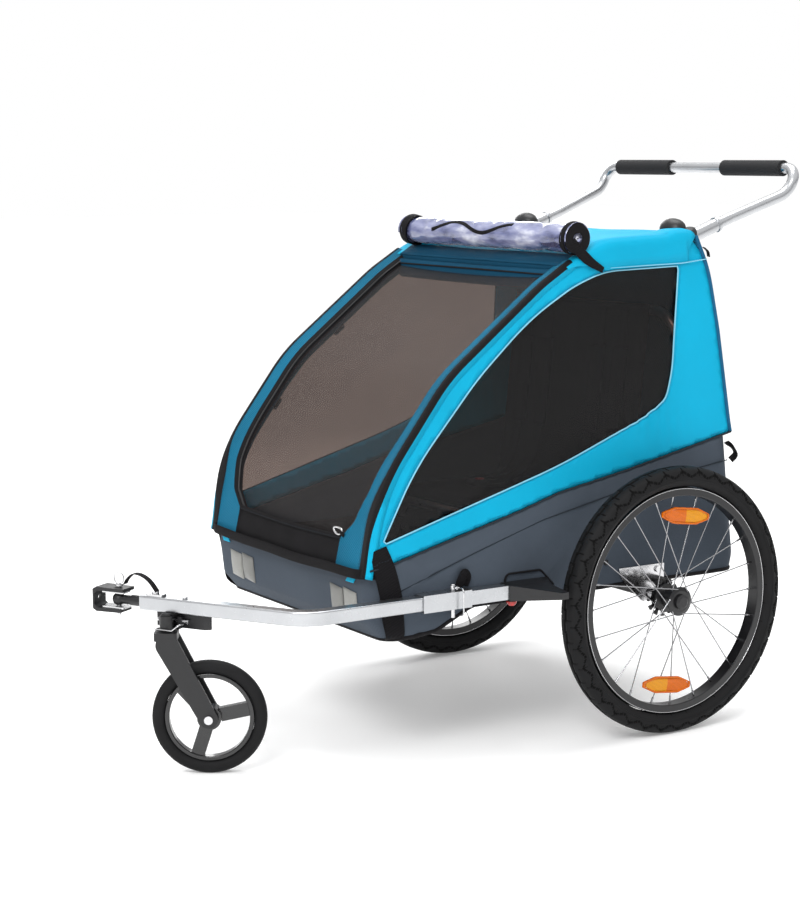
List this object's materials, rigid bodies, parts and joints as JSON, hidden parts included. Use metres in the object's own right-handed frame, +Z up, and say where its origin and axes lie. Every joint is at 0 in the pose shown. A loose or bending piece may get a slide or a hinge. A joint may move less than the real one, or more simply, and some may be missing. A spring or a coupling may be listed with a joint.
{
  "type": "child bicycle trailer",
  "caption": "Folding child bicycle trailer in stroller trim, with spoked rear wheels, a caster under the bent tow arm, a hitch head, a fabric cabin with mesh front, and a push handlebar.",
  "frame": {"origin": "middle of the whole outline, on the ground", "axes": "+Z up, -Y the way it travels, +X its left side, where the tow arm is"},
  "size_m": [0.792, 1.352, 1.0545],
  "materials": {
    "aluminium": "satin anodised",
    "steel": "bright zinc",
    "black_metal": "satin black",
    "black_plastic": "fine moulded grain",
    "gloss_black_plastic": "gloss",
    "tyre": "matte rubber",
    "red_plastic": "gloss",
    "reflector_amber": "prismatic",
    "foam_grip": "matte foam",
    "webbing": "woven webbing",
    "fabric_blue": "coated weave",
    "fabric_slate": "coated weave",
    "fabric_dark": "padded weave",
    "mesh_black": "insect mesh",
    "window_tint": "dark tinted film",
    "clear_pvc": "clear film"
  },
  "bodies": {
    "root": {"floor_frame": "aluminium", "tow_arm_receiver": "aluminium", "wheel_guards": "black_plastic", "axle_tube": "black_metal", "axle_plates": "steel", "stub_axles": "steel", "brake_guides": "black_metal", "frame_bolts": "steel", "brake_lever_mount": "black_plastic", "tow_arm": "aluminium", "arm_end_plug": "black_plastic", "strap_anchor": "steel", "safety_strap": "webbing", "caster_mount": "black_plastic", "lower_tub": "fabric_slate", "cabin_fabric": "fabric_blue", "side_windows": "window_tint", "seat_base": "fabric_dark", "harness_buckles": "black_plastic"},
    "left_wheel": {"left_tyre": "tyre", "left_rim": "black_metal", "left_hub": "black_metal", "left_spokes": "steel", "left_reflectors": "reflector_amber"},
    "right_wheel": {"right_tyre": "tyre", "right_rim": "black_metal", "right_hub": "black_metal", "right_spokes": "steel", "right_reflectors": "reflector_amber"},
    "left_hub_button": {"left_hub_button": "black_plastic"},
    "right_hub_button": {"right_hub_button": "black_plastic"},
    "brake_lever": {"brake_lever": "black_plastic"},
    "left_brake_pin": {"left_brake_pin": "black_metal"},
    "right_brake_pin": {"right_brake_pin": "black_metal"},
    "arm_release_button": {"arm_release_button": "red_plastic"},
    "hitch_ball": {"hitch_ball": "black_plastic"},
    "hitch_yoke": {"hitch_yoke": "black_plastic", "hitch_plates": "steel"},
    "hitch_pin": {"hitch_pin": "steel"},
    "caster_fork": {"caster_fork": "black_plastic", "caster_axle": "steel"},
    "caster_wheel": {"caster_wheel": "gloss_black_plastic", "caster_tyre": "tyre"},
    "caster_pin": {"caster_pin": "steel"},
    "caster_pin_bail": {"caster_pin_bail": "steel"},
    "receiver_pin": {"receiver_pin": "steel"},
    "receiver_pin_bail": {"receiver_pin_bail": "steel"},
    "upper_frame": {"arch_frame": "aluminium", "handlebar_sockets": "aluminium", "roof_corner_knuckles": "black_plastic", "roof_panel": "fabric_blue", "rain_cover_roll": "clear_pvc"},
    "front_cover": {"front_cover": "mesh_black"},
    "handlebar": {"handlebar": "aluminium", "handlebar_grips": "foam_grip"},
    "backrest": {"backrest_frame": "aluminium", "seat_back": "fabric_dark", "shoulder_straps": "webbing"},
    "left_buckle_button": {"left_buckle_button": "red_plastic"},
    "right_buckle_button": {"right_buckle_button": "red_plastic"}
  },
  "joints": [
    {"name": "left_wheel_spin", "type": "hinge", "parent": "root", "child": "left_wheel", "pos_m": [0.3665, 0.3045, 0.25], "axis": [1, 0, 0], "continuous": true},
    {"name": "right_wheel_spin", "type": "hinge", "parent": "root", "child": "right_wheel", "pos_m": [-0.3665, 0.3045, 0.25], "axis": [1, 0, 0], "continuous": true},
    {"name": "left_hub_button_press", "type": "slide", "parent": "left_wheel", "child": "left_hub_button", "axis": [-1, 0, 0], "range_m": [0, 0.003], "stiffness_N_per_m": 400},
    {"name": "right_hub_button_press", "type": "slide", "parent": "right_wheel", "child": "right_hub_button", "axis": [1, 0, 0], "range_m": [0, 0.003], "stiffness_N_per_m": 400},
    {"name": "brake_lever_turn", "type": "hinge", "parent": "root", "child": "brake_lever", "pos_m": [0, 0.5005, 0.257], "axis": [-1, 0, 0], "range_deg": [0, 30]},
    {"name": "left_brake_pin_slide", "type": "slide", "parent": "root", "child": "left_brake_pin", "axis": [1, 0, 0], "range_m": [0, 0.008]},
    {"name": "right_brake_pin_slide", "type": "slide", "parent": "root", "child": "right_brake_pin", "axis": [-1, 0, 0], "range_m": [0, 0.008]},
    {"name": "arm_release_button_press", "type": "slide", "parent": "root", "child": "arm_release_button", "axis": [0, 0, 1], "range_m": [0, 0.003], "stiffness_N_per_m": 400},
    {"name": "hitch_roll", "type": "hinge", "parent": "root", "child": "hitch_ball", "pos_m": [0.03, -0.6125, 0.294], "axis": [-0.8533, -0.5215, 0], "range_deg": [-30, 30]},
    {"name": "hitch_yaw", "type": "hinge", "parent": "hitch_ball", "child": "hitch_yoke", "pos_m": [-0.01266, -0.63857, 0.294], "axis": [0, 0, 1], "range_deg": [-50, 50]},
    {"name": "hitch_pin_lift", "type": "slide", "parent": "hitch_yoke", "child": "hitch_pin", "axis": [0, 0, 1], "range_m": [0, 0.06]},
    {"name": "caster_swivel", "type": "hinge", "parent": "root", "child": "caster_fork", "pos_m": [0.092, -0.5985, 0.26], "axis": [0, 0, 1], "continuous": true},
    {"name": "caster_wheel_spin", "type": "hinge", "parent": "caster_fork", "child": "caster_wheel", "pos_m": [0.13128, -0.53697, 0.1], "axis": [0.8429, -0.538, 0], "continuous": true},
    {"name": "caster_pin_slide", "type": "slide", "parent": "root", "child": "caster_pin", "axis": [0.8533, 0.5215, 0], "range_m": [0, 0.06]},
    {"name": "caster_pin_bail_swing", "type": "hinge", "parent": "caster_pin", "child": "caster_pin_bail", "pos_m": [0.12081, -0.58044, 0.2675], "axis": [-0.5215, 0.8533, 0], "range_deg": [0, 120]},
    {"name": "receiver_pin_lift", "type": "slide", "parent": "root", "child": "receiver_pin", "axis": [0, 0, 1], "range_m": [0, 0.06]},
    {"name": "receiver_pin_bail_swing", "type": "hinge", "parent": "receiver_pin", "child": "receiver_pin_bail", "pos_m": [0.3175, -0.1475, 0.3155], "axis": [0, -1, 0], "range_deg": [0, 110]},
    {"name": "frame_fold", "type": "hinge", "parent": "root", "child": "upper_frame", "pos_m": [0, -0.2855, 0.345], "axis": [-1, 0, 0], "range_deg": [0, 36], "deforming": ["lower_tub", "cabin_fabric", "side_windows"]},
    {"name": "backrest_fold", "type": "hinge", "parent": "root", "child": "backrest", "pos_m": [0, 0.4825, 0.332], "axis": [1, 0, 0], "range_deg": [0, 68], "deforming": ["seat_base", "seat_back", "shoulder_straps"]},
    {"name": "front_cover_lift", "type": "hinge", "parent": "upper_frame", "child": "front_cover", "pos_m": [0, 0.1095, 0.8702], "axis": [-1, 0, 0], "range_deg": [0, 60]},
    {"name": "handlebar_slide", "type": "slide", "parent": "upper_frame", "child": "handlebar", "axis": [0, 0.9426, 0.3338], "range_m": [0, 0.06]},
    {"name": "left_buckle_button_press", "type": "slide", "parent": "root", "child": "left_buckle_button", "axis": [0, 0, -1], "range_m": [0, 0.0015], "stiffness_N_per_m": 400},
    {"name": "right_buckle_button_press", "type": "slide", "parent": "root", "child": "right_buckle_button", "axis": [0, 0, -1], "range_m": [0, 0.0015], "stiffness_N_per_m": 400}
  ],
  "couplings": [
    {"joint": "left_brake_pin_slide", "follows": "brake_lever_turn", "m_per_rad": 0.015279},
    {"joint": "right_brake_pin_slide", "follows": "brake_lever_turn", "m_per_rad": 0.015279},
    {"joint": "backrest_fold", "follows": "frame_fold", "ratio": 1.8889}
  ]
}
